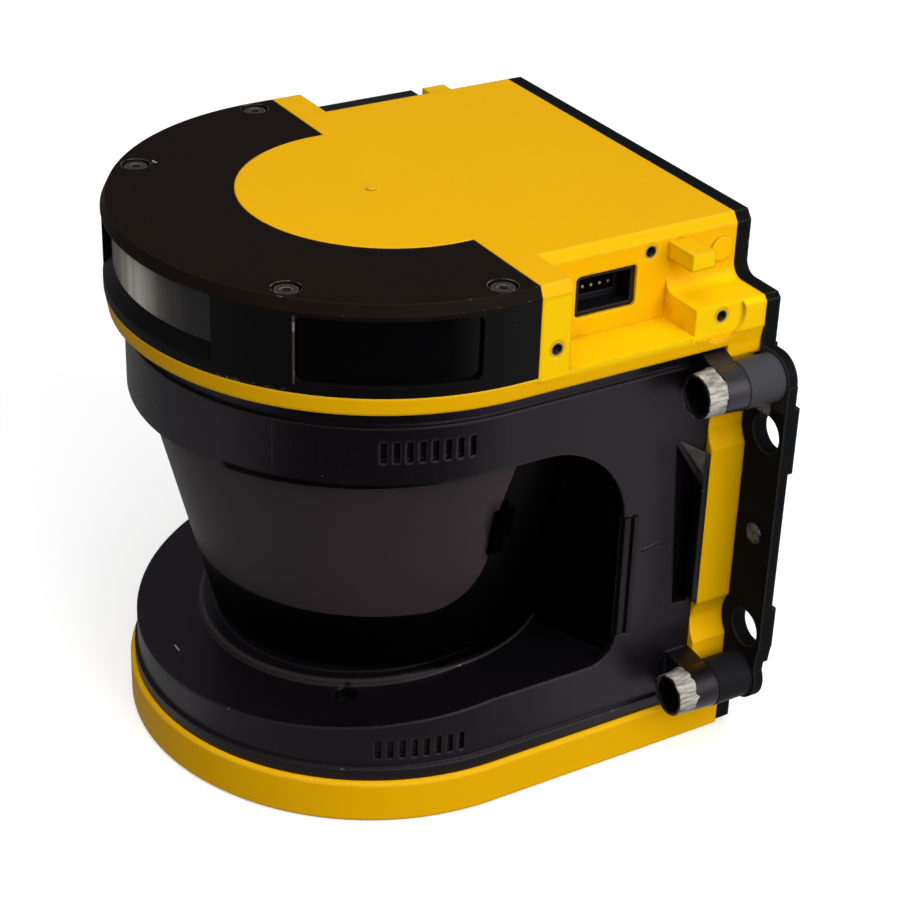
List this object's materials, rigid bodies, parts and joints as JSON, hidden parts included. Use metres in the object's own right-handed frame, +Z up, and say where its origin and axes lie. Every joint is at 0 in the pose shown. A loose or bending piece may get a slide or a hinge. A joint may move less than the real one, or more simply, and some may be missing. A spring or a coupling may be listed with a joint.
{
  "type": "safety laser scanner",
  "caption": "Compact safety laser scanner with a conical scan window between a round base ring and a horseshoe front cap, and a rear plate with mounting ears.",
  "frame": {"origin": "on the underside of the base, below the middle of the scan axis", "axes": "+Z up along the scan axis, -Y out of the round front, +Y out of the rear plate, +X towards the side with the connector"},
  "size_m": [0.1272, 0.1147, 0.117],
  "materials": {
    "yellow_casting": "satin paint on a die casting",
    "black_cap": "fine-grained black, worn at the edges",
    "black_screw": "blackened steel",
    "grey_window": "smoked grey, slightly translucent",
    "circuit_board": "solder mask",
    "dark_window": "dark and glossy",
    "black_plastic": "moulded black",
    "black_frame": "fine-grained black",
    "scan_window": "dark infrared-passing plastic, satin",
    "rubber_seal": "soft",
    "steel_screw": "bright",
    "contact_metal": "plated",
    "nickel_insert": "bright",
    "black_casting": "black painted die casting, worn bright at the bosses",
    "inner_metal": "anodised",
    "lens_glass": "polished",
    "laser_brass": "turned",
    "bearing_steel": "ground",
    "mirror_glass": "coated"
  },
  "bodies": {
    "scanner": {"main_housing": "yellow_casting", "front_cap": "black_cap", "cap_screws": "black_screw", "indicator_window": "grey_window", "indicator_board": "circuit_board", "camera_window_right": "dark_window", "camera_window_left": "dark_window", "camera_right": "black_plastic", "camera_left": "black_plastic", "optics_frame": "black_frame", "scan_window": "scan_window", "window_gasket": "rubber_seal", "window_clamps": "black_plastic", "edge_strips": "black_plastic", "ring_window": "dark_window", "base_screws": "steel_screw", "connector_socket": "black_plastic", "connector_pins": "contact_metal", "port_cover": "black_plastic", "port_plug": "rubber_seal", "side_inserts": "nickel_insert", "rear_plate": "black_casting", "rear_gasket": "rubber_seal", "rear_screws": "black_screw", "mounting_screws": "black_screw", "main_board": "circuit_board", "board_screws": "steel_screw", "power_board": "circuit_board", "lens_holder": "inner_metal", "receiver_lens": "lens_glass", "receiver_board": "circuit_board", "laser_module": "laser_brass", "motor_base": "inner_metal", "motor_bearings": "bearing_steel", "encoder_sensor": "black_plastic"},
    "mirror_unit": {"mirror_rotor": "inner_metal", "scan_mirror": "mirror_glass", "encoder_disc": "bearing_steel"}
  },
  "joints": [
    {"name": "mirror_spin", "type": "hinge", "parent": "scanner", "child": "mirror_unit", "pos_m": [0, 0, 0.0456], "axis": [0, 0, 1], "continuous": true}
  ]
}
